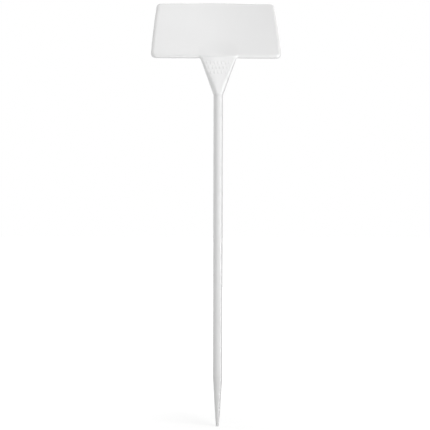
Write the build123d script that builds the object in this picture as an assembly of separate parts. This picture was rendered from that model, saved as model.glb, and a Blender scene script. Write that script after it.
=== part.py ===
from build123d import *

import math
import os

# A plant label stake: a moulded head with a writing plate, a tube for a stem, and a point that plugs it.
# Sizes are in millimetres. +Z runs up the stem and the plate faces -Y, leaning back towards +Y.
# The origin is on the stem's axis at soil level.

# Writing plate, measured in its own leaning plane
PLATE_BOTTOM_WIDTH = 100.0
PLATE_TOP_WIDTH = 94.2
PLATE_HEIGHT = 65.5
PLATE_SIDE_BOW = 0.45  # how far each side bulges past a straight line between its corners
PLATE_TOP_BOW = 0.5
PLATE_OFFSET = -1.7  # how far the plate's middle stands from the stem's axis, along X
PLATE_THICKNESS = 2.6
PLATE_TOP_CORNER_RADIUS = 3.2
PLATE_BOTTOM_CORNER_RADIUS = 4.4
PLATE_FRONT_ROUND = 1.8
PLATE_BACK_ROUND = 0.4
PLATE_LEAN = 40.0  # degrees back from the stem's axis

# Neck, from the stem's round section up to the crease below the plate
NECK_HEIGHT = 28.5
NECK_TOP_WIDTH = 27.8
NECK_TOP_THICKNESS = 4.6
NECK_TOP_SIDE = 1.9  # how far in from the flank its rounded side reaches
NECK_TOP_FRONT_CROWN = 0.3  # how far the neck's front bulges past its rounded sides
ROOT_RUN = 20.0  # how far up the plate the neck's extra thickness fades out
ROOT_SINK = 0.15  # how deep the faded end lies below the plate's faces
WEB_RADIUS = 2.5  # hollow corner between the neck's flank and the plate's lower edge
WEB_THICKNESS = 1.3
WEB_BITE = 0.1  # how far the hollow corner's end runs into the plate's lower edge

# Stem
STEM_DIAMETER = 7.2
STEM_WALL = 1.4
STEM_LENGTH = 215.0
EDGE_BREAK = 0.15

# Ground point
POINT_LENGTH = 38.0
POINT_TIP_DIAMETER = 2.2
POINT_TIP_ROUND = 0.6

# Push fits in the two ends of the stem
HEAD_SPIGOT_LENGTH = 16.0
POINT_SPIGOT_LENGTH = 14.0
SPIGOT_CLEARANCE = 0.03
SPIGOT_LEAD_IN = 0.8  # length of the tapered end
SPIGOT_LEAD_DEPTH = 0.25  # how much the end tapers in
SPIGOT_FLUTES = 4
SPIGOT_FLUTE_DEPTH = 0.45
SPIGOT_FLUTE_RADIUS = 0.7

# Planting depth: how much of the stake is below soil level
SOIL_DEPTH = 90.0

# The largest share of a wall or a corner that an edge's round takes up
ROUND_SHARE = 0.9

# Heights that follow from the sizes
TIP_Z = -SOIL_DEPTH
STEM_FOOT_Z = TIP_Z + POINT_LENGTH
STEM_TOP_Z = STEM_FOOT_Z + STEM_LENGTH
CREASE_Z = STEM_TOP_Z + NECK_HEIGHT
STEM_RADIUS = STEM_DIAMETER / 2
BORE_RADIUS = STEM_RADIUS - STEM_WALL

LEAN = math.radians(PLATE_LEAN)
PLATE_PLANE = Plane(
    origin=(0, 0, CREASE_Z), x_dir=(1, 0, 0), z_dir=(0, -math.cos(LEAN), math.sin(LEAN))
)


def oval(half_width, half_depth, side, shoulder):
    """A face of four arcs: a front and a back of that half depth, and two rounded sides.

    The arcs meet at half_width - side across and shoulder deep.
    """
    across = half_width - side
    front = ThreePointArc((-across, -shoulder), (0, -half_depth), (across, -shoulder))
    right = ThreePointArc((across, -shoulder), (half_width, 0), (across, shoulder))
    back = ThreePointArc((across, shoulder), (0, half_depth), (-across, shoulder))
    left = ThreePointArc((-across, shoulder), (-half_width, 0), (-across, -shoulder))
    return make_face([front, right, back, left])


def neck():
    """The flared neck, round at its foot and flat at the crease, and its root, which fades out in the plate."""
    corner = STEM_RADIUS * math.sqrt(0.5)
    foot = Pos(0, 0, STEM_TOP_Z) * oval(STEM_RADIUS, STEM_RADIUS, STEM_RADIUS - corner, corner)
    top_depth = NECK_TOP_THICKNESS / 2
    top = Pos(0, 0, CREASE_Z) * oval(
        NECK_TOP_WIDTH / 2, top_depth, NECK_TOP_SIDE, top_depth - NECK_TOP_FRONT_CROWN
    )
    faded_depth = PLATE_THICKNESS / 2 - ROOT_SINK
    faded_plane = Plane(
        origin=PLATE_PLANE.from_local_coords((0, ROOT_RUN, 0)), x_dir=(1, 0, 0), z_dir=PLATE_PLANE.y_dir
    )
    faded = faded_plane * oval(NECK_TOP_WIDTH / 2, faded_depth, NECK_TOP_SIDE, faded_depth - ROOT_SINK)
    return loft([foot, top], ruled=True) + loft([top, faded], ruled=True)


def root_web():
    """The web that rounds out the two corners between the neck's flanks and the plate's lower edge."""
    slope = math.atan2(NECK_TOP_WIDTH / 2 - STEM_RADIUS, NECK_HEIGHT)
    seat_z = CREASE_Z - PLATE_THICKNESS / 2 * math.sin(LEAN) + WEB_BITE
    seat_x = STEM_RADIUS + (seat_z - STEM_TOP_Z) * math.tan(slope)
    tangent = WEB_RADIUS / math.tan((math.pi / 2 + slope) / 2)
    low_x = seat_x - tangent * math.sin(slope)
    low_z = seat_z - tangent * math.cos(slope)
    high_x = seat_x + tangent
    right = TangentArc((low_x, low_z), (high_x, seat_z), tangent=(math.sin(slope), math.cos(slope)))
    left = mirror(right, about=Plane.YZ)
    rim = Polyline((high_x, seat_z), (seat_x, CREASE_Z), (-seat_x, CREASE_Z), (-high_x, seat_z))
    base = Line((-low_x, low_z), (low_x, low_z))
    back_y = PLATE_THICKNESS / 2 * math.cos(LEAN)
    outline = Plane.XZ * make_face([right, rim, left, base])
    return Pos(0, back_y - WEB_THICKNESS, 0) * extrude(outline, WEB_THICKNESS, dir=(0, 1, 0))


def spigot(length):
    """A fluted push-fit spigot for the stem's bore, standing up from z = 0."""
    radius = BORE_RADIUS - SPIGOT_CLEARANCE
    body = Cylinder(radius, length, align=(Align.CENTER, Align.CENTER, Align.MIN))
    end = body.faces().sort_by(Axis.Z)[-1]
    body = chamfer(end.edges(), length=SPIGOT_LEAD_DEPTH, length2=SPIGOT_LEAD_IN, reference=end)
    reach = radius - SPIGOT_FLUTE_DEPTH + SPIGOT_FLUTE_RADIUS
    flute = Cylinder(SPIGOT_FLUTE_RADIUS, length, align=(Align.CENTER, Align.CENTER, Align.MIN))
    for place in PolarLocations(reach, SPIGOT_FLUTES):
        body -= place * flute
    return body


def writing_plate():
    """The leaning plate, slightly bowed, with its front edges well rounded and its back edges just broken."""
    low, high = PLATE_BOTTOM_WIDTH / 2, PLATE_TOP_WIDTH / 2
    middle = (low + high) / 2 + PLATE_SIDE_BOW
    bottom = Line((-low, 0), (low, 0))
    right = ThreePointArc((low, 0), (middle, PLATE_HEIGHT / 2), (high, PLATE_HEIGHT))
    top = ThreePointArc((high, PLATE_HEIGHT), (0, PLATE_HEIGHT + PLATE_TOP_BOW), (-high, PLATE_HEIGHT))
    left = mirror(right, about=Plane.YZ)
    outline = make_face([bottom, right, top, left])
    outline = fillet(outline.vertices().group_by(Axis.Y)[-1], PLATE_TOP_CORNER_RADIUS)
    outline = fillet(outline.vertices().group_by(Axis.Y)[0], PLATE_BOTTOM_CORNER_RADIUS)
    plate = extrude(outline, PLATE_THICKNESS / 2, both=True)
    wall = min(PLATE_THICKNESS - PLATE_BACK_ROUND, PLATE_TOP_CORNER_RADIUS, PLATE_BOTTOM_CORNER_RADIUS)
    front_round = min(PLATE_FRONT_ROUND, ROUND_SHARE * wall)
    plate = fillet(plate.faces().sort_by(Axis.Z)[-1].edges(), front_round)
    plate = fillet(plate.faces().sort_by(Axis.Z)[0].edges(), PLATE_BACK_ROUND)
    return PLATE_PLANE * Pos(PLATE_OFFSET, 0, 0) * plate


def label_head():
    """The plate, the neck and the spigot that hangs below the neck's foot, as one moulding."""
    hanging_spigot = Pos(0, 0, STEM_TOP_Z) * Rot(180, 0, 0) * spigot(HEAD_SPIGOT_LENGTH)
    return writing_plate() + neck() + root_web() + hanging_spigot


def stem_tube():
    """The extruded stem, cut square at both ends with its outer edges broken."""
    tube = Cylinder(STEM_RADIUS, STEM_LENGTH, align=(Align.CENTER, Align.CENTER, Align.MIN))
    ends = tube.edges().filter_by(GeomType.CIRCLE)
    tube = chamfer(ends, EDGE_BREAK)
    bore = Cylinder(BORE_RADIUS, STEM_LENGTH, align=(Align.CENTER, Align.CENTER, Align.MIN))
    return Pos(0, 0, STEM_FOOT_Z) * (tube - bore)


def ground_point():
    """The long blunt point, with the spigot that plugs the stem's lower end."""
    point = Cone(
        POINT_TIP_DIAMETER / 2, STEM_RADIUS, POINT_LENGTH, align=(Align.CENTER, Align.CENTER, Align.MIN)
    )
    tip_round = min(POINT_TIP_ROUND, ROUND_SHARE * POINT_TIP_DIAMETER / 2)
    point = fillet(point.edges().filter_by(GeomType.CIRCLE).sort_by(Axis.Z)[0], tip_round)
    return Pos(0, 0, TIP_Z) * point + Pos(0, 0, STEM_FOOT_Z) * spigot(POINT_SPIGOT_LENGTH)


def main():
    os.makedirs("parts", exist_ok=True)
    pieces = {"label_head": label_head(), "stem_tube": stem_tube(), "ground_point": ground_point()}
    for name, piece in pieces.items():
        export_step(piece, f"parts/{name}.step")


main()
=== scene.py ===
import logging
import math
from collections.abc import Iterable, Iterator, Mapping, Sequence
from dataclasses import dataclass, field
from enum import Enum

import bmesh
import bpy
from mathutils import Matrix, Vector, noise
from mathutils.geometry import delaunay_2d_cdt
from mathutils.kdtree import KDTree


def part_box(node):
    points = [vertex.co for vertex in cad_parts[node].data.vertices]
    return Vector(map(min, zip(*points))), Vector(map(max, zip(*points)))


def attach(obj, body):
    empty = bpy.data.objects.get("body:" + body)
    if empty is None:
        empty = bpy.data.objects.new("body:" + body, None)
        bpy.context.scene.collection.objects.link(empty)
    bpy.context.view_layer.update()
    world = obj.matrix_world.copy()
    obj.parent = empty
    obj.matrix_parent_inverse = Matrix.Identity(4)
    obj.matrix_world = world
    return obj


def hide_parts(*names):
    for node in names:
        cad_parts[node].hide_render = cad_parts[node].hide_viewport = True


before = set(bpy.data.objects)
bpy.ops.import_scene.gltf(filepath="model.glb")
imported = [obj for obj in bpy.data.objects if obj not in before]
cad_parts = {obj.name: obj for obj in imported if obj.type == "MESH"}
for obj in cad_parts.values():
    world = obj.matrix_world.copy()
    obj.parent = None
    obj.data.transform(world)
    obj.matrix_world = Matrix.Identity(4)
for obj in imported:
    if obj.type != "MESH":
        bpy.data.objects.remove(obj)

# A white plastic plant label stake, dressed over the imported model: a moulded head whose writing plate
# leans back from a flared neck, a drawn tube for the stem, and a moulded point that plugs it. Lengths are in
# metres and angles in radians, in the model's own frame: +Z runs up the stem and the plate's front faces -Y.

LOG = logging.getLogger("plant_label")
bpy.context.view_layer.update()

IMAGE_PIXELS = 430
WELD_DISTANCE = 1e-6
SHARP_ANGLE = math.radians(38)
QUARTER_TURN = math.pi / 2
FULL_TURN = 2 * math.pi

# What the flat fill gives, which is the triangles inside its outline, and how near points count as one
FILL_INSIDE = 1
FILL_TOLERANCE = WELD_DISTANCE / 10

# How many finer layers soft noise has, and how strong each of them is
NOISE_DETAIL = 3.0
NOISE_ROUGHNESS = 0.55

# Sockets of a colour Mix node, which shares their names with its other kinds
MIX_FIRST, MIX_SECOND, MIX_RESULT = 6, 7, 2


def blend(first: float, second: float, share: float) -> float:
    """The value that lies a share of the way from the first to the second."""
    return first + (second - first) * share


def ease(low: float, high: float, value: float) -> float:
    """0 up to low, 1 from high on, and a smooth rise between them."""
    share = min(max((value - low) / (high - low), 0.0), 1.0)
    return share * share * (3 - 2 * share)


def ring_angles(count: int) -> list[float]:
    """Even angles all the way round, from +X towards +Y."""
    return [FULL_TURN * number / count for number in range(count)]


def on_circle(radius: float, angle: float, height: float) -> Vector:
    """The point at a radius and an angle about the stem's axis, at a height."""
    return Vector((radius * math.cos(angle), radius * math.sin(angle), height))


def standing(bearing: float, rise: float, distance: float) -> Vector:
    """How far off something stands, round from the front towards the right and up by an angle."""
    level = distance * math.cos(rise)
    return Vector((math.sin(bearing) * level, -math.cos(bearing) * level, distance * math.sin(rise)))


def closed_links(first: int, count: int) -> list[tuple[int, int]]:
    """The links between neighbours in a closed ring of points that are numbered from the first on."""
    return [(first + number, first + (number + 1) % count) for number in range(count)]


def grey(level: float) -> tuple[float, float, float, float]:
    """An opaque grey of that level."""
    return (level, level, level, 1.0)


@dataclass
class Draft:
    """A mesh in the making.

    Attributes:
        points: where its vertices are.
        faces: the vertex numbers of each face.
    """

    points: list[Vector] = field(default_factory=list)
    faces: list[tuple[int, ...]] = field(default_factory=list)

    def row(self, places: Iterable[Vector]) -> list[int]:
        """Adds a row of vertices.

        Args:
            places: where they are.

        Returns:
            Their numbers.
        """
        first = len(self.points)
        self.points.extend(places)
        return list(range(first, len(self.points)))

    def strip(self, one: Sequence[int], other: Sequence[int]) -> None:
        """Joins two rows of the same length with quads."""
        self.faces.extend(zip(one, one[1:], other[1:], other))

    def band(self, one: list[int], other: list[int]) -> None:
        """Joins two rings of the same length with quads all the way round."""
        self.strip(one + one[:1], other + other[:1])

    def cap(self, ring: list[int], centre: Vector) -> None:
        """Closes a ring with a fan of triangles about a centre."""
        (middle,) = self.row([centre])
        self.faces.extend((a, b, middle) for a, b in zip(ring, ring[1:] + ring[:1]))

    def make(self, name: str, material: bpy.types.Material) -> bpy.types.Object:
        """Welds the mesh and puts it in the scene.

        Args:
            name: the name of the new object.
            material: what it is made of.

        Returns:
            The object, at the frame's origin.
        """
        shape = bmesh.new()
        vertices = [shape.verts.new(point) for point in self.points]
        for face in self.faces:
            shape.faces.new([vertices[number] for number in face])
        bmesh.ops.remove_doubles(shape, verts=shape.verts, dist=WELD_DISTANCE)
        bmesh.ops.recalc_face_normals(shape, faces=shape.faces)
        mesh = bpy.data.meshes.new(name)
        shape.to_mesh(mesh)
        shape.free()
        mesh.materials.append(material)
        mesh.shade_smooth()
        mesh.set_sharp_from_angle(angle=SHARP_ANGLE)
        piece = bpy.data.objects.new(name, mesh)
        bpy.context.scene.collection.objects.link(piece)
        return piece


class Value:
    """An output of a node that Python's operators work on: each operator adds a Math node."""

    def __init__(self, nodes: "Nodes", socket: bpy.types.NodeSocket) -> None:
        """Keeps the socket and the tree that it is in."""
        self.nodes = nodes
        self.socket = socket

    def _math(self, operation: str, first: "float | Value", second: "float | Value") -> "Value":
        """Adds a Math node for an operation on two values."""
        return self.nodes.value("ShaderNodeMath", {"operation": operation}, {0: first, 1: second})

    def __add__(self, other: "float | Value") -> "Value":
        """The sum of this and another value."""
        return self._math("ADD", self, other)

    def __radd__(self, other: float) -> "Value":
        """The sum of a number and this value."""
        return self._math("ADD", other, self)

    def __sub__(self, other: "float | Value") -> "Value":
        """This value less another."""
        return self._math("SUBTRACT", self, other)

    def __rsub__(self, other: float) -> "Value":
        """A number less this value."""
        return self._math("SUBTRACT", other, self)

    def __mul__(self, other: "float | Value") -> "Value":
        """The product of this and another value."""
        return self._math("MULTIPLY", self, other)

    def __rmul__(self, other: float) -> "Value":
        """The product of a number and this value."""
        return self._math("MULTIPLY", other, self)


class Nodes:
    """The node tree of a material or of the world."""

    def __init__(self, owner: bpy.types.Material | bpy.types.World) -> None:
        """Empties the tree of a material or a world.

        Args:
            owner: the material or world.
        """
        owner.use_nodes = True
        self.tree = owner.node_tree
        self.tree.nodes.clear()

    def node(
        self, kind: str, settings: Mapping[str, object], inputs: Mapping[str | int, object]
    ) -> bpy.types.Node:
        """Adds a node of any kind.

        Args:
            kind: the node's type.
            settings: its properties, which are set first.
            inputs: a number, a colour or a Value for each of its sockets that is set or linked.

        Returns:
            The node.
        """
        node = self.tree.nodes.new(kind)
        for name, setting in settings.items():
            setattr(node, name, setting)
        for name, given in inputs.items():
            if isinstance(given, Value):
                self.tree.links.new(given.socket, node.inputs[name])
            else:
                node.inputs[name].default_value = given
        return node

    def value(
        self,
        kind: str,
        settings: Mapping[str, object],
        inputs: Mapping[str | int, object],
        output: str | int = 0,
    ) -> Value:
        """Adds a node as node() does, and gives the output of that name or number."""
        return Value(self, self.node(kind, settings, inputs).outputs[output])

    def mix(
        self, share: Value, first: "Sequence[float] | Value", second: "Sequence[float] | Value"
    ) -> Value:
        """A colour that goes from the first to the second as the share goes from 0 to 1."""
        inputs = {0: share, MIX_FIRST: first, MIX_SECOND: second}
        return self.value("ShaderNodeMix", {"data_type": "RGBA"}, inputs, MIX_RESULT)

    def speckle(self, place: Value, size: float) -> Value:
        """Soft noise from 0 to 1, read at a place, with spots of that size."""
        inputs = {"Vector": place, "Scale": 1 / size, "Detail": NOISE_DETAIL, "Roughness": NOISE_ROUGHNESS}
        return self.value("ShaderNodeTexNoise", {}, inputs)

    def seen_directly(self) -> Value:
        """Tells the rays that see a surface from those of diffuse light.

        Returns:
            1 for a ray from the camera or off a gloss or glass surface, and 0 for any other.
        """
        path = self.node("ShaderNodeLightPath", {}, {})
        kinds = ("Is Camera Ray", "Is Glossy Ray", "Is Transmission Ray")
        camera, glossy, transmission = (Value(self, path.outputs[kind]) for kind in kinds)
        return 1 - (1 - camera) * (1 - glossy) * (1 - transmission)

    def surface(self, inputs: Mapping[str | int, object]) -> None:
        """Makes a Principled shader with those inputs the material's surface."""
        shader = self.value("ShaderNodeBsdfPrincipled", {}, inputs)
        self.node("ShaderNodeOutputMaterial", {}, {"Surface": shader})

    def glowing_surface(self, colour: Sequence[float], glow: Value) -> None:
        """Makes a matt shader that also gives off light the material's surface.

        Args:
            colour: its own colour under the lamps.
            glow: the light that it gives off.
        """
        inputs = {
            "Base Color": colour,
            "Roughness": 1.0,
            "Specular IOR Level": 0.0,
            "Emission Color": glow,
            "Emission Strength": 1.0,
        }
        self.surface(inputs)


class Grain(Enum):
    """How far the marks of a plastic's making are squeezed along X, Y and Z."""

    MOULDED = (1.0, 1.0, 1.0)
    DRAWN = (1.0, 1.0, 0.015)


@dataclass(frozen=True)
class Plastic:
    """A white plastic with the marks of its making.

    Attributes:
        name: the material's name.
        white: how pale it is.
        cloud_white: how pale it is in the soft clouds that it drifts to.
        cloud_size: the width of a cloud.
        roughness: its mean roughness.
        roughness_spread: how far the roughness drifts to either side.
        grain_size: the width of a fine mark.
        grain_height: the height of a fine mark.
        grain: how the fine marks run.
        refraction: its index of refraction.
    """

    name: str
    white: float
    cloud_white: float
    cloud_size: float
    roughness: float
    roughness_spread: float
    grain_size: float
    grain_height: float
    grain: Grain = Grain.MOULDED
    refraction: float = 1.59

    def material(self) -> bpy.types.Material:
        """Makes the plastic's material.

        Returns:
            The material, with its colour, roughness and fine marks from nodes.
        """
        material = bpy.data.materials.new(self.name)
        nodes = Nodes(material)
        place = nodes.value("ShaderNodeTexCoord", {}, {}, "Object")
        along = nodes.value(
            "ShaderNodeVectorMath", {"operation": "MULTIPLY"}, {0: place, 1: self.grain.value}
        )
        clouds = nodes.speckle(place, self.cloud_size)
        marks = nodes.speckle(along, self.grain_size)
        relief = {"Strength": 1.0, "Distance": self.grain_height, "Height": marks}
        spread = self.roughness_spread
        inputs = {
            "Base Color": nodes.mix(clouds, grey(self.white), grey(self.cloud_white)),
            "Roughness": self.roughness - spread + spread * (clouds + marks),
            "IOR": self.refraction,
            "Normal": nodes.value("ShaderNodeBump", {}, relief, "Normal"),
        }
        nodes.surface(inputs)
        return material


HEAD_PLASTIC = Plastic(
    name="white_moulded_head",
    white=0.845,
    cloud_white=0.825,
    cloud_size=0.030,
    roughness=0.25,
    roughness_spread=0.06,
    grain_size=0.0006,
    grain_height=0.000006,
)
STEM_PLASTIC = Plastic(
    name="white_drawn_stem",
    white=0.815,
    cloud_white=0.790,
    cloud_size=0.045,
    roughness=0.20,
    roughness_spread=0.06,
    grain_size=0.0005,
    grain_height=0.000010,
    grain=Grain.DRAWN,
)
POINT_PLASTIC = Plastic(
    name="white_moulded_point",
    white=0.812,
    cloud_white=0.785,
    cloud_size=0.020,
    roughness=0.25,
    roughness_spread=0.07,
    grain_size=0.0005,
    grain_height=0.000007,
)


@dataclass(frozen=True)
class Spigot:
    """The fluted push-fit end of a moulding, which goes into the stem's bore.

    Attributes:
        length: how far it goes in.
        radius: its radius between the flutes.
        lead_in: the length of its tapered end.
        lead_depth: how far the end tapers in.
        flutes: how many flutes it has.
        flute_depth: how deep a flute is.
        flute_radius: the radius of a flute's round bottom.
    """

    length: float
    radius: float = 0.00217
    lead_in: float = 0.0008
    lead_depth: float = 0.00025
    flutes: int = 4
    flute_depth: float = 0.00045
    flute_radius: float = 0.0007

    def radius_at(self, angle: float, taper: float) -> float:
        """The spigot's radius, with its flutes.

        Args:
            angle: where round the spigot.
            taper: how far it is tapered in there.

        Returns:
            The radius.
        """
        pitch = FULL_TURN / self.flutes
        offset = (angle + pitch / 2) % pitch - pitch / 2
        centre = self.radius - self.flute_depth + self.flute_radius
        across = centre * math.sin(offset)
        plain = self.radius - taper
        if abs(across) >= self.flute_radius:
            return plain
        return min(plain, centre * math.cos(offset) - math.sqrt(self.flute_radius**2 - across**2))

    def add(self, draft: Draft, shoulder: list[int], start: float, heading: int) -> None:
        """Adds the spigot below or above a shoulder.

        Args:
            draft: the mesh to add it to.
            shoulder: the ring round the shoulder's outer edge, which starts at +X and turns towards +Y.
            start: the shoulder's height.
            heading: 1 if the spigot stands up from the shoulder and -1 if it hangs down.
        """
        angles = ring_angles(len(shoulder))
        ring = shoulder
        stations = ((0.0, 0.0), (self.length - self.lead_in, 0.0), (self.length, self.lead_depth))
        for distance, taper in stations:
            height = start + heading * distance
            following = draft.row(on_circle(self.radius_at(angle, taper), angle, height) for angle in angles)
            draft.band(ring, following)
            ring = following
        draft.cap(ring, Vector((0, 0, start + heading * self.length)))


class Face(Enum):
    """A face of the head's sheet, as the sign of its height above the sheet's middle."""

    FRONT = 1
    BACK = -1


@dataclass(frozen=True)
class Corner:
    """A corner of a path, and the radius that rounds it."""

    place: Vector
    radius: float = 0.0


@dataclass(frozen=True)
class RimPoint:
    """A point on the head's rim, and the way in from it."""

    place: Vector
    inward: Vector


def straight_run(start: Vector, end: Vector, step: float) -> list[tuple[Vector, Vector]]:
    """Points along a straight run, without its end.

    Args:
        start: where the run starts.
        end: where it ends.
        step: the longest distance between points.

    Returns:
        Each point and the run's direction.
    """
    run = end - start
    count = max(1, math.ceil(run.length / step))
    return [(start + run * (number / count), run.normalized()) for number in range(count)]


def rounded_path(corners: Sequence[Corner], step: float, turn_step: float) -> list[tuple[Vector, Vector]]:
    """Points along a flat path of straight runs with rounded corners.

    Args:
        corners: the path's ends and the corners between them.
        step: the longest distance between points on a straight run.
        turn_step: the largest turn between points on a rounded corner.

    Returns:
        Each point and the path's direction there.
    """
    path: list[tuple[Vector, Vector]] = []
    start = corners[0].place
    for before, corner, after in zip(corners, corners[1:], corners[2:]):
        arriving = (corner.place - before.place).normalized()
        leaving = (after.place - corner.place).normalized()
        turn = math.atan2(arriving.cross(leaving), arriving.dot(leaving))
        side = Vector((-arriving.y, arriving.x)) * math.copysign(1, turn)
        entry = corner.place - arriving * corner.radius * math.tan(abs(turn) / 2)
        path += straight_run(start, entry, step)
        pieces = math.ceil(abs(turn) / turn_step)
        for number in range(pieces + 1):
            turned = abs(turn) * number / pieces
            ahead = arriving * math.sin(turned) + side * (1 - math.cos(turned))
            heading = arriving * math.cos(turned) + side * math.sin(turned)
            path.append((entry + ahead * corner.radius, heading))
        start = path.pop()[0]
    path += straight_run(start, corners[-1].place, step)
    path.append((corners[-1].place, path[-1][1]))
    return path


@dataclass(frozen=True)
class Mark:
    """A round mark of the moulding.

    Attributes:
        across: its place across the sheet.
        along: its place along the sheet.
        radius: its radius.
        height: how far it stands out, or is sunk where that is below 0.
        edge: how wide the slope round it is.
    """

    across: float
    along: float
    radius: float
    height: float
    edge: float = 0.00012

    def distance(self, place: Vector) -> float:
        """How far a place on the sheet is from the mark's centre."""
        return math.hypot(place.x - self.across, place.y - self.along)

    def relief(self, place: Vector) -> float:
        """How far the mark stands out at a place."""
        return self.height * (1 - ease(self.radius - self.edge, self.radius, self.distance(place)))

    def ring(self, radius: float, count: int) -> list[Vector]:
        """So many places on the sheet, on a circle about the mark's centre."""
        centre = Vector((self.across, self.along))
        return [centre + Vector((math.cos(angle), math.sin(angle))) * radius for angle in ring_angles(count)]


EJECTOR_MARKS = tuple(
    Mark(across, along, radius=0.0025, height=-0.00010)
    for along, reach in ((0.014, 0.033), (0.051, 0.031))
    for across in (-reach, reach)
)
GATE_NUB = Mark(across=0.0, along=0.036, radius=0.0011, height=0.00022)


@dataclass(frozen=True)
class GripPips:
    """The rows of small grip pips on the neck's front, each row one pip shorter than the row above it.

    Attributes:
        rows: how many rows there are.
        in_top_row: how many pips the top row has.
        pitch: the distance between pips in a row.
        row_pitch: the distance between rows.
        top: where along the sheet the top row is.
        half_width: half a pip's width.
        half_height: half its height along the sheet.
        rise: how far it stands out.
    """

    rows: int = 3
    in_top_row: int = 7
    pitch: float = 0.0028
    row_pitch: float = 0.0036
    top: float = -0.0042
    half_width: float = 0.0008
    half_height: float = 0.0016
    rise: float = 0.00022

    def relief(self, place: Vector) -> float:
        """How far the pips stand out.

        Args:
            place: the place on the sheet.

        Returns:
            The height of the pip there, or 0.
        """
        total = 0.0
        for row in range(self.rows):
            count = self.in_top_row - row
            along = self.top - row * self.row_pitch
            for number in range(count):
                across = (number - (count - 1) / 2) * self.pitch
                sideways = (place.x - across) / self.half_width
                upward = (place.y - along) / self.half_height
                total += self.rise * max(0.0, 1 - sideways**2 - upward**2) ** 2
        return total


@dataclass(frozen=True)
class WritingPlate:
    """The sizes of the writing plate, measured along its own slope.

    Attributes:
        bottom_width: its width at the crease.
        top_width: its width at the top.
        height: its height.
        offset: how far its middle stands from the stem's axis, along X.
        side_bow: how far a side bulges past a straight line.
        top_bow: how far the top bulges.
        thickness: how thick it is.
        top_corner_radius: the radius of its upper corners.
        bottom_corner_radius: the radius of its lower corners.
        front_round: how far in from the rim its front is rounded.
        back_round: the same for its back.
        rim_level: the height of the rim's outermost line above the sheet's middle.
        lean: how far it leans back from the stem's axis.
    """

    bottom_width: float = 0.100
    top_width: float = 0.0942
    height: float = 0.0655
    offset: float = -0.0017
    side_bow: float = 0.00045
    top_bow: float = 0.0005
    thickness: float = 0.0026
    top_corner_radius: float = 0.0032
    bottom_corner_radius: float = 0.0044
    front_round: float = 0.0026
    back_round: float = 0.0010
    rim_level: float = -0.0003
    lean: float = math.radians(40)

    def bowed(self, place: Vector) -> Vector:
        """Moves a place on the plate's straight outline out to the bowed one.

        Args:
            place: the place on the straight outline.

        Returns:
            The place on the bowed one.
        """
        up = min(max(place.y / self.height, 0.0), 1.0)
        half_width = blend(self.bottom_width, self.top_width, up) / 2
        aside = (place.x - self.offset) / half_width
        bow = Vector((self.side_bow * aside * (1 - (2 * up - 1) ** 2), self.top_bow * up * (1 - aside**2)))
        return place + bow


@dataclass(frozen=True)
class Neck:
    """The sizes of the flared neck, from its foot to the crease, and of its root, which fades in the plate.

    Attributes:
        height: its height.
        top_width: its width at the crease.
        top_thickness: its thickness at the crease.
        round_share: the share of its half width that its rounded side takes up at the crease.
        round_rise: the power by which that share rises to 1 at the foot.
        fill: how far down, as a share, its thickness spreads from the middle to its whole width.
        crown: how strongly its faces fall off to their sides, per metre.
        crown_rise: the power by which the crown rises from the crease down.
        root_run: how far up the plate its extra thickness fades out.
        bulge_half_width: half the width of the root's bulge.
        bulge_fall: the power by which the bulge falls off to its sides.
        web_radius: the radius of the hollow corners between its flanks and the plate's lower edge.
        web_start: how far across the rim starts to turn from the neck's round side.
        web_end: how far across it has become the plate's edge.
    """

    height: float = 0.0285
    top_width: float = 0.0278
    top_thickness: float = 0.0046
    round_share: float = 0.14
    round_rise: float = 2.2
    fill: float = 0.4
    crown: float = 145.0
    crown_rise: int = 3
    root_run: float = 0.020
    bulge_half_width: float = 0.0152
    bulge_fall: float = 1.2
    web_radius: float = 0.0025
    web_start: float = 0.0130
    web_end: float = 0.0180

    def down(self, along: float) -> float:
        """How far down the neck a place is: 0 at the crease and above it, and 1 at the foot."""
        return max(0.0, -along / self.height)

    def plate_share(self, across: float) -> float:
        """How far the rim has turned from the neck's round side, 0, to the plate's edge, 1."""
        return ease(self.web_start, self.web_end, abs(across))


@dataclass(frozen=True)
class Zone:
    """A band of the sheet that is meshed with rows of points.

    Attributes:
        low: where along the sheet it starts.
        high: where it ends.
        across: the distance between points in a row.
        along: the distance between rows.
    """

    low: float
    high: float
    across: float
    along: float

    def places(self, half_width: float) -> Iterator[Vector]:
        """Goes through the band's points, with every second row moved on by half a step.

        Args:
            half_width: how far the rows reach to either side.

        Yields:
            A point's place on the sheet.
        """
        columns = int(half_width / self.across)
        for row in range(int((self.high - self.low) / self.along) + 1):
            for column in range(-columns, columns + 1):
                yield Vector(((column + row % 2 / 2) * self.across, self.low + row * self.along))


# The bands of the head's sheet, from the neck's foot to the plate's top. The back has a plain one for the
# fine one of the pips.
FOOT_ZONE = Zone(low=-Neck.height, high=-0.0172, across=0.0010, along=0.0010)
PIP_ZONE = Zone(low=-0.0170, high=-0.0028, across=0.00028, along=0.00028)
PLAIN_ZONE = Zone(low=-0.0170, high=-0.0028, across=0.0009, along=0.0009)
CREASE_ZONE = Zone(low=-0.0026, high=0.0026, across=0.0008, along=0.0002)
ROOT_ZONE = Zone(low=0.0030, high=0.0220, across=0.0011, along=0.0011)
FLAT_ZONE = Zone(low=0.0230, high=WritingPlate.height, across=0.0021, along=0.0021)


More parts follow.
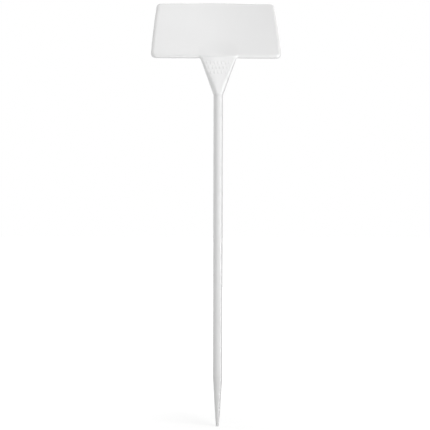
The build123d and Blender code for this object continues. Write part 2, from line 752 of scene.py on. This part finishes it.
@dataclass(frozen=True)
class LabelHead:
    """The moulded head: the writing plate, the neck below it and the spigot.

    The plate and the neck are one sheet that is bent at the crease. A place on it is given by how far it is
    across, along X, and how far along the sheet above the crease. Heights are measured from its middle.

    Attributes:
        foot: the height of the neck's foot in the frame.
        stem_radius: the radius of the stem below it.
        plate: the writing plate.
        neck: the neck and its root.
        pips: the grip pips on the neck's front.
        marks: the moulding marks on the plate's back.
        crease_round: how far below the crease the front starts to bend.
        crease_share: how much sooner the back starts to bend, as a share of its height.
        flash_height: how far the flash line stands out round the rim.
        flash_fade: how far above the foot it has its full height.
        round_steps: how many steps the rounding between the rim and a face has.
        rim_step: the longest distance between points on the rim's straight runs.
        rim_turn_step: the largest turn between points on the rim's corners.
        mark_points: how many points an outline of a moulding mark has.
        edge_gap: the least distance between a face's edge and the points inside it.
        front_zones: the bands that the front's mesh points are laid out in.
        back_zones: the same for the back.
        spigot: the end that goes into the stem.
        finish: what it is made of.
    """

    foot: float
    stem_radius: float
    plate: WritingPlate = WritingPlate()
    neck: Neck = Neck()
    pips: GripPips = GripPips()
    marks: tuple[Mark, ...] = (*EJECTOR_MARKS, GATE_NUB)
    crease_round: float = 0.0005
    crease_share: float = 0.6
    flash_height: float = 0.00004
    flash_fade: float = 0.001
    round_steps: int = 14
    rim_step: float = 0.0012
    rim_turn_step: float = math.radians(6)
    mark_points: int = 48
    edge_gap: float = 0.0004
    front_zones: tuple[Zone, ...] = (FOOT_ZONE, PIP_ZONE, CREASE_ZONE, ROOT_ZONE, FLAT_ZONE)
    back_zones: tuple[Zone, ...] = (FOOT_ZONE, PLAIN_ZONE, CREASE_ZONE, ROOT_ZONE, FLAT_ZONE)
    spigot: Spigot = Spigot(length=0.016)
    finish: Plastic = HEAD_PLASTIC

    @property
    def crease(self) -> float:
        """The crease's height in the frame."""
        return self.foot + self.neck.height

    def height(self, face: Face, place: Vector) -> float:
        """The height of a face of the sheet.

        Args:
            face: which face.
            place: the place on the sheet.

        Returns:
            The height, below 0 on the back.
        """
        neck = self.neck
        flat = self.plate.thickness / 2
        top = neck.top_thickness / 2
        down = neck.down(place.y)
        if down:
            middle = blend(top, self.stem_radius, down)
        else:
            middle = blend(top, flat, ease(0, neck.root_run, place.y))
        dome = max(0.0, 1 - (place.x / neck.bulge_half_width) ** 2) ** neck.bulge_fall
        thickness = flat + (middle - flat) * blend(dome, 1, ease(0, neck.fill, down))
        crown = neck.crown * down**neck.crown_rise * (1 - down) * place.x**2
        if face is Face.FRONT:
            relief = self.pips.relief(place)
        else:
            relief = sum(mark.relief(place) for mark in self.marks)
        return face.value * (thickness - crown + relief)

    def side_round(self, face: Face, place: Vector) -> float:
        """How far in from the rim a face is rounded.

        Args:
            face: which face.
            place: the place on the rim.

        Returns:
            The distance.
        """
        down = self.neck.down(place.y)
        share = blend(self.neck.round_share, 1, down**self.neck.round_rise)
        flank = blend(self.neck.top_width / 2, self.stem_radius, down) * share
        edge = self.plate.front_round if face is Face.FRONT else self.plate.back_round
        return blend(flank, edge, self.neck.plate_share(place.x))

    def in_frame(self, place: Vector, height: float) -> Vector:
        """Bends the sheet at the crease.

        Args:
            place: the place on the sheet.
            height: the height above the sheet's middle.

        Returns:
            The point in the frame.
        """
        across, along = place
        before = self.crease_round + self.crease_share * max(0.0, -height)
        after = before * (1 - self.neck.plate_share(across))
        if along <= -before:
            return Vector((across, -height, self.crease + along))
        if along >= after:
            return self.on_plate(across, along, height)
        share = (along + before) / (before + after)
        start = Vector((across, -height, self.crease - before))
        corner = Vector((across, -height, self.crease + height * math.tan(self.plate.lean / 2)))
        end = self.on_plate(across, after, height)
        return start * (1 - share) ** 2 + corner * (2 * share * (1 - share)) + end * share**2

    def on_plate(self, across: float, along: float, height: float) -> Vector:
        """The point in the frame for a place on the leaning plate, at a height above its middle."""
        sin, cos = math.sin(self.plate.lean), math.cos(self.plate.lean)
        return Vector((across, along * sin - height * cos, self.crease + (along * cos + height * sin)))

    def half_rim(self, side: int) -> list[RimPoint]:
        """Half of the sheet's outline.

        Args:
            side: 1 for the right half and -1 for the left.

        Returns:
            Points from the middle of the plate's top, round the plate and down to the neck's foot.
        """
        plate, neck = self.plate, self.neck
        low, high, flank = plate.bottom_width / 2, plate.top_width / 2, neck.top_width / 2
        corners = (
            Corner(Vector((plate.offset, plate.height))),
            Corner(Vector((plate.offset + side * high, plate.height)), plate.top_corner_radius),
            Corner(Vector((plate.offset + side * low, 0)), plate.bottom_corner_radius),
            Corner(Vector((side * flank, 0)), neck.web_radius),
            Corner(Vector((side * self.stem_radius, -neck.height))),
        )
        slope = math.atan2(flank - self.stem_radius, neck.height)
        flank_top = -neck.web_radius / math.tan((QUARTER_TURN + slope) / 2) * math.cos(slope)
        points = []
        for place, heading in rounded_path(corners, self.rim_step, self.rim_turn_step):
            inward = Vector((heading.y, -heading.x)) * side
            # On the neck's flank the way in is level, so that the foot's rounding is a level circle.
            if place.y < flank_top - WELD_DISTANCE:
                raised = (place.y + neck.height) / (flank_top + neck.height)
                inward = Vector((-side * blend(1, 1 / math.cos(slope), raised), 0))
            points.append(RimPoint(plate.bowed(place), inward))
        return points

    def rim(self) -> list[RimPoint]:
        """The sheet's outline, from the left of the neck's foot, up and round the plate, to the right."""
        return self.half_rim(-1)[:0:-1] + self.half_rim(1)

    def rounded(self, face: Face, point: RimPoint, turn: float) -> tuple[Vector, Vector]:
        """A point on the rounding between the rim and a face.

        Args:
            face: which face.
            point: the point of the rim that it starts from.
            turn: how far round it is, from 0 at the rim to a quarter turn at the face.

        Returns:
            Its place on the sheet, and its point in the frame.
        """
        place = point.place + point.inward * self.side_round(face, point.place) * (1 - math.cos(turn))
        level = self.plate.rim_level * self.neck.plate_share(point.place.x)
        height = blend(level, self.height(face, place), math.sin(turn))
        if turn == 0:
            above_foot = point.place.y + self.neck.height
            place = place - point.inward * self.flash_height * ease(0, self.flash_fade, above_foot)
        return place, self.in_frame(place, height)

    def fill(self, draft: Draft, face: Face, edge: Sequence[Vector], inward: Sequence[Vector]) -> None:
        """Fills a face inside its rounded rim.

        Args:
            draft: the mesh to add it to.
            face: which face.
            edge: the places on the sheet of the face's edge, from foot to foot.
            inward: the way in from each of them.
        """
        nearest = KDTree(len(edge))
        for number, place in enumerate(edge):
            nearest.insert(place.to_3d(), number)
        nearest.balance()
        places = list(edge)
        links = closed_links(0, len(edge))
        marks = self.marks if face is Face.BACK else ()
        for mark in marks:
            for radius in (mark.radius, mark.radius - mark.edge):
                links += closed_links(len(places), self.mark_points)
                places += mark.ring(radius, self.mark_points)
        half_width = self.plate.bottom_width / 2 + abs(self.plate.offset)
        for zone in self.front_zones if face is Face.FRONT else self.back_zones:
            margin = zone.across / 2
            for place in zone.places(half_width):
                _, number, distance = nearest.find(place.to_3d())
                inside = (place - edge[number]).dot(inward[number]) > 0
                clear = all(abs(mark.distance(place) - mark.radius) > margin for mark in marks)
                if inside and clear and distance > max(self.edge_gap, margin):
                    places.append(place)
        found, _, faces, *_ = delaunay_2d_cdt(places, links, [], FILL_INSIDE, FILL_TOLERANCE)
        numbers = draft.row(self.in_frame(place, self.height(face, place)) for place in found)
        draft.faces.extend(tuple(numbers[corner] for corner in triangle) for triangle in faces)

    def build(self) -> bpy.types.Object:
        """Makes the head as one closed mesh, in its plastic.

        Returns:
            The head.
        """
        draft = Draft()
        rim = self.rim()
        steps = self.round_steps
        for face in Face:
            outer: list[int] = []
            for step in range(steps + 1):
                rounded = [self.rounded(face, point, QUARTER_TURN * step / steps) for point in rim]
                inner = draft.row(point for _, point in rounded)
                if outer:
                    draft.strip(outer, inner)
                outer = inner
            # The rim's two ends meet on the axis at the foot, so the edge goes without the last of them.
            edge = [place for place, _ in rounded][:-1]
            self.fill(draft, face, edge, [point.inward for point in rim][:-1])
        # The foot's circle is made of the four roundings that end there.
        angles = ring_angles(4 * steps)
        shoulder = draft.row(on_circle(self.stem_radius, angle, self.foot) for angle in angles)
        self.spigot.add(draft, shoulder, self.foot, -1)
        return draft.make("moulded_head", self.finish.material())

    def dress(self) -> bpy.types.Object:
        """Builds the head and puts it in the CAD head's place.

        Returns:
            The head.
        """
        piece = self.build()
        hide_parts("label_head")
        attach(piece, "label")
        return piece


@dataclass(frozen=True)
class StemTube:
    """The drawn tube between the head and the point.

    Attributes:
        foot: the height of its lower end.
        top: the height of its upper end.
        radius: its outer radius.
        wall: the thickness of its wall.
        edge_break: how far its outer edges are broken.
        line_height: how far the drawn lines stand out or in.
        line_width: how wide a drawn line is.
        line_run: how far along the stem a line stays the same.
        ring_step: the distance between the mesh's rings.
        count: how many points a ring has.
        finish: what it is made of.
    """

    foot: float
    top: float
    radius: float
    wall: float = 0.0014
    edge_break: float = 0.00015
    line_height: float = 0.000012
    line_width: float = 0.0008
    line_run: float = 0.09
    ring_step: float = 0.005
    count: int = 160
    finish: Plastic = STEM_PLASTIC

    def radius_at(self, angle: float, height: float) -> float:
        """The outer radius, with the lines that the drawing die leaves."""
        around = on_circle(self.radius / self.line_width, angle, height / self.line_run)
        return self.radius + self.line_height * noise.noise(around)

    def ring(self, draft: Draft, height: float, inset: float) -> list[int]:
        """Adds a ring at a height, so far in from the outer surface, and gives its vertex numbers."""
        angles = ring_angles(self.count)
        return draft.row(on_circle(self.radius_at(angle, height) - inset, angle, height) for angle in angles)

    def build(self) -> bpy.types.Object:
        """Makes the tube as one closed mesh, in its plastic.

        Returns:
            The tube.
        """
        draft = Draft()
        low, high = self.foot + self.edge_break, self.top - self.edge_break
        steps = round((high - low) / self.ring_step)
        rings = [self.ring(draft, self.foot, self.wall), self.ring(draft, self.foot, self.edge_break)]
        rings += [self.ring(draft, blend(low, high, step / steps), 0.0) for step in range(steps + 1)]
        rings += [self.ring(draft, self.top, self.edge_break), self.ring(draft, self.top, self.wall)]
        for one, other in zip(rings, rings[1:] + rings[:1]):
            draft.band(one, other)
        return draft.make("drawn_stem", self.finish.material())

    def dress(self) -> bpy.types.Object:
        """Builds the stem and puts it in the CAD stem's place.

        Returns:
            The stem.
        """
        piece = self.build()
        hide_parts("stem_tube")
        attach(piece, "stake")
        return piece


@dataclass(frozen=True)
class GroundPoint:
    """The moulded point that plugs the stem's lower end.

    Attributes:
        tip: the height of its tip.
        shoulder: the height of its shoulder, which the stem stands on.
        radius: its radius at the shoulder.
        tip_radius: the radius that the cone would have at the tip.
        tip_round: how far the tip's edge is rounded.
        edge_break: how far the shoulder's edge is broken.
        seam_height: how far its two parting seams stand out.
        seam_half_width: how wide half a seam is.
        seam_fade: how many rings a seam takes to rise at either end.
        round_steps: how many steps the tip's round has.
        ring_step: the distance between the mesh's rings.
        count: how many points a ring has.
        spigot: the end that goes into the stem.
        finish: what it is made of.
    """

    tip: float
    shoulder: float
    radius: float
    tip_radius: float = 0.0011
    tip_round: float = 0.0006
    edge_break: float = 0.0001
    seam_height: float = 0.00005
    seam_half_width: float = 0.0003
    seam_fade: int = 2
    round_steps: int = 8
    ring_step: float = 0.002
    count: int = 128
    spigot: Spigot = Spigot(length=0.014)
    finish: Plastic = POINT_PLASTIC

    def cone_radius(self, height: float) -> float:
        """The cone's radius at a height above the tip."""
        return blend(self.tip_radius, self.radius, height / (self.shoulder - self.tip))

    def ring(self, draft: Draft, radius: float, height: float, seam: float) -> list[int]:
        """Adds a ring with its two seams.

        Args:
            draft: the mesh to add it to.
            radius: the ring's radius.
            height: its height.
            seam: how far the seams stand out there.

        Returns:
            The ring's vertex numbers.
        """
        places = []
        for angle in ring_angles(self.count):
            rise = 1 - ease(0, self.seam_half_width, radius * abs(math.sin(angle)))
            places.append(on_circle(radius + seam * rise, angle, height))
        return draft.row(places)

    def build(self) -> bpy.types.Object:
        """Makes the point as one closed mesh, in its plastic.

        Returns:
            The point.
        """
        draft = Draft()
        rings = [self.ring(draft, self.radius - self.edge_break, self.shoulder, 0.0)]
        self.spigot.add(draft, rings[0], self.shoulder, 1)
        top = self.shoulder - self.edge_break
        low = self.tip + self.tip_round
        steps = round((top - low) / self.ring_step)
        for step in range(steps + 1):
            height = blend(top, low, step / steps)
            seam = self.seam_height * ease(0, self.seam_fade, min(step, steps - step))
            rings.append(self.ring(draft, self.cone_radius(height - self.tip), height, seam))
        edge = self.cone_radius(self.tip_round)
        for step in range(1, self.round_steps + 1):
            turn = QUARTER_TURN * step / self.round_steps
            radius = edge - self.tip_round * (1 - math.cos(turn))
            rings.append(self.ring(draft, radius, low - self.tip_round * math.sin(turn), 0.0))
        for one, other in zip(rings, rings[1:]):
            draft.band(one, other)
        draft.cap(rings[-1], Vector((0, 0, self.tip)))
        return draft.make("moulded_point", self.finish.material())

    def dress(self) -> bpy.types.Object:
        """Builds the point and puts it in the CAD point's place.

        Returns:
            The point.
        """
        piece = self.build()
        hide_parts("ground_point")
        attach(piece, "stake")
        return piece


@dataclass(frozen=True)
class Lamp:
    """A soft panel that faces the object.

    Attributes:
        name: the lamp's name.
        bearing: where it stands, round from the front towards the right.
        power: its power in watts.
        rise: how high it stands, as an angle.
        distance: how far it is from what it faces.
        width: the panel's width.
        height: the panel's height.
    """

    name: str
    bearing: float
    power: float
    rise: float = math.radians(15)
    distance: float = 1.3
    width: float = 0.45
    height: float = 1.2

    def place(self, target: Vector) -> bpy.types.Object:
        """Puts the lamp in the scene.

        Args:
            target: the point that it faces.

        Returns:
            The lamp.
        """
        panel = bpy.data.lights.new(self.name, "AREA")
        panel.shape = "RECTANGLE"
        panel.size = self.width
        panel.size_y = self.height
        panel.energy = self.power
        lamp = bpy.data.objects.new(self.name, panel)
        offset = standing(self.bearing, self.rise, self.distance)
        lamp.location = target + offset
        lamp.rotation_euler = (-offset).to_track_quat("-Z", "Y").to_euler()
        bpy.context.scene.collection.objects.link(lamp)
        return lamp


@dataclass(frozen=True)
class Card:
    """A card that leans away beside the object, and that only its gloss shows, as an edge or a highlight.

    Attributes:
        name: the card's name.
        bearing: where its middle stands, round from the front towards the right.
        spread: how far round it reaches to either side of that.
        foot: how far its lower edge is from the stem's axis, and how high.
        head: the same for its upper edge.
        brightness: how bright it is at its lower and its upper edge.
    """

    name: str
    bearing: float
    spread: float
    foot: tuple[float, float] = (0.03, -0.089)
    head: tuple[float, float] = (0.5, 0.30)
    brightness: tuple[float, float] = (0.02, 0.02)

    def place(self) -> bpy.types.Object:
        """Puts the card in the scene, out of the camera's sight and out of the lamps' way.

        Returns:
            The card.
        """
        draft = Draft()
        rows = [
            draft.row(
                standing(self.bearing + side * self.spread, 0, distance) + Vector((0, 0, height))
                for side in (-1, 1)
            )
            for distance, height in (self.foot, self.head)
        ]
        draft.strip(*rows)
        material = bpy.data.materials.new(self.name)
        nodes = Nodes(material)
        place = nodes.value("ShaderNodeTexCoord", {}, {}, "Generated")
        up = nodes.value("ShaderNodeSeparateXYZ", {}, {0: place}, "Z")
        low, high = self.brightness
        nodes.glowing_surface(grey(0.0), nodes.mix(up, grey(low), grey(high)))
        card = draft.make(self.name, material)
        card.visible_camera = False
        card.visible_diffuse = False
        card.visible_shadow = False
        return card


@dataclass(frozen=True)
class Studio:
    """The floor, the surround, the lamps and the camera.

    Attributes:
        floor: the floor's height.
        target: the height that the lamps face.
        floor_half_width: half the floor's width.
        floor_level: how pale the floor's own grey is under the lamps.
        near_glow: what is added to the floor by the point where it is seen directly, so that it looks white.
        far_glow: the same, far from the point, where no shadow falls.
        glow_reach: the distances from the point between which the one turns into the other.
        near_bounce: how bright the floor is as a light, by the point.
        far_bounce: the same, far from the point.
        surround: how bright the surround is as a light.
        lamps: the lamps.
        cards: the cards that draw the edge and the highlight of the gloss.
        camera_distance: how far the camera is from the stem's axis.
        camera_height: the camera's height in the frame.
        camera_side: how far the camera is to the right of the stem's axis.
        camera_bearing: how far the camera stands round from the front, towards the right.
        camera_roll: how far the camera is rolled.
        focal_pixels: its focal length, in pixels of the picture.
        sensor: its sensor's width in millimetres.
    """

    floor: float
    target: float = 0.12
    floor_half_width: float = 6.0
    floor_level: float = 0.5
    near_glow: float = 0.63
    far_glow: float = 1.0
    glow_reach: tuple[float, float] = (0.05, 0.30)
    near_bounce: float = 0.26
    far_bounce: float = 0.42
    surround: float = 0.25
    lamps: tuple[Lamp, ...] = (
        Lamp("front_panel", math.radians(0), 2.15, width=0.25, height=0.9),
        Lamp("front_right_panel", math.radians(30), 1.75),
        Lamp("right_panel", math.radians(60), 1.25),
        Lamp("low_right_panel", math.radians(60), 0.9, rise=0.0, height=0.36),
        Lamp("right_strip", math.radians(70), 0.50, width=0.12),
        Lamp("left_panel", math.radians(-105), 1.5),
        Lamp("rear_left_panel", math.radians(-120), 0.8),
        Lamp("rear_panel", math.radians(180), 2.0),
        Lamp("high_panel", math.radians(45), 6.0, math.radians(50), width=0.6, height=0.6),
        Lamp("overhead_panel", math.radians(-135), 0.22, math.radians(86.3), 1.08, 0.2, 0.2),
        Lamp("overhead_front_panel", math.radians(-14), 0.21, math.radians(79.2), 1.10, 0.2, 0.2),
    )
    cards: tuple[Card, ...] = (
        Card("dark_card", math.radians(122), math.radians(43)),
        Card("bright_card", math.radians(72), math.radians(5), brightness=(10.0, 3.6)),
        Card("overhead_card", math.radians(126), math.radians(24), foot=(0.04, 1.19), head=(0.5, 1.19)),
    )
    camera_distance: float = 0.731
    camera_height: float = 0.0714
    camera_side: float = -0.00225
    camera_bearing: float = math.radians(-0.9)
    camera_roll: float = math.radians(-0.16)
    focal_pixels: float = 957.0
    sensor: float = 36.0

    def lay_floor(self) -> bpy.types.Object:
        """Lays the floor under the point's tip.

        Returns:
            The floor.
        """
        draft = Draft()
        half = self.floor_half_width
        rows = [draft.row(Vector((x, y, self.floor)) for x in (-half, half)) for y in (-half, half)]
        draft.strip(*rows)
        material = bpy.data.materials.new("white_floor")
        nodes = Nodes(material)
        place = nodes.value("ShaderNodeTexCoord", {}, {}, "Object")
        distance = nodes.value("ShaderNodeVectorMath", {"operation": "LENGTH"}, {0: place}, "Value")
        near, far = self.glow_reach
        spread = nodes.value(
            "ShaderNodeMapRange",
            {"interpolation_type": "SMOOTHSTEP"},
            {"Value": distance, "From Min": near, "From Max": far},
        )
        glow = nodes.mix(spread, grey(self.near_glow), grey(self.far_glow))
        bounce = nodes.mix(spread, grey(self.near_bounce), grey(self.far_bounce))
        nodes.glowing_surface(grey(self.floor_level), nodes.mix(nodes.seen_directly(), bounce, glow))
        floor = draft.make("studio_floor", material)
        return floor

    def light_surround(self) -> None:
        """Makes a surround that looks white and lights the object more softly."""
        world = bpy.data.worlds.new("white_surround")
        bpy.context.scene.world = world
        nodes = Nodes(world)
        colour = nodes.mix(nodes.seen_directly(), grey(self.surround), grey(1.0))
        shader = nodes.value("ShaderNodeBackground", {}, {"Color": colour, "Strength": 1.0})
        nodes.node("ShaderNodeOutputWorld", {}, {"Surface": shader})

    def set_camera(self) -> bpy.types.Object:
        """Puts the camera level in front of the object.

        Returns:
            The camera.
        """
        lens = bpy.data.cameras.new("front_camera")
        lens.sensor_fit = "HORIZONTAL"
        lens.sensor_width = self.sensor
        lens.lens = self.sensor * self.focal_pixels / IMAGE_PIXELS
        camera = bpy.data.objects.new("front_camera", lens)
        ahead = Vector((-math.sin(self.camera_bearing), math.cos(self.camera_bearing), 0))
        aside = Vector((ahead.y, -ahead.x, 0))
        camera.location = aside * self.camera_side - ahead * self.camera_distance
        camera.location.z = self.camera_height
        camera.rotation_euler = (QUARTER_TURN, self.camera_roll, self.camera_bearing)
        bpy.context.scene.collection.objects.link(camera)
        bpy.context.scene.camera = camera
        return camera

    def build(self) -> None:
        """Sets up the whole studio."""
        bpy.context.scene.view_settings.view_transform = "Standard"
        self.lay_floor()
        self.light_surround()
        for lamp in self.lamps:
            lamp.place(Vector((0, 0, self.target)))
        for card in self.cards:
            card.place()
        self.set_camera()


def main() -> None:
    """Dresses the object piece by piece and sets up the studio round it."""
    logging.basicConfig(level=logging.INFO, format="%(name)s: %(message)s")
    stem_low, stem_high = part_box("stem_tube")
    point_low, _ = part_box("ground_point")
    radius = stem_high.x
    pieces = (
        LabelHead(foot=stem_high.z, stem_radius=radius),
        StemTube(foot=stem_low.z, top=stem_high.z, radius=radius),
        GroundPoint(tip=point_low.z, shoulder=stem_low.z, radius=radius),
    )
    for piece in pieces:
        made = piece.dress()
        LOG.info("%s has %d faces", made.name, len(made.data.polygons))
    Studio(floor=point_low.z).build()


if __name__ == "__main__":
    main()
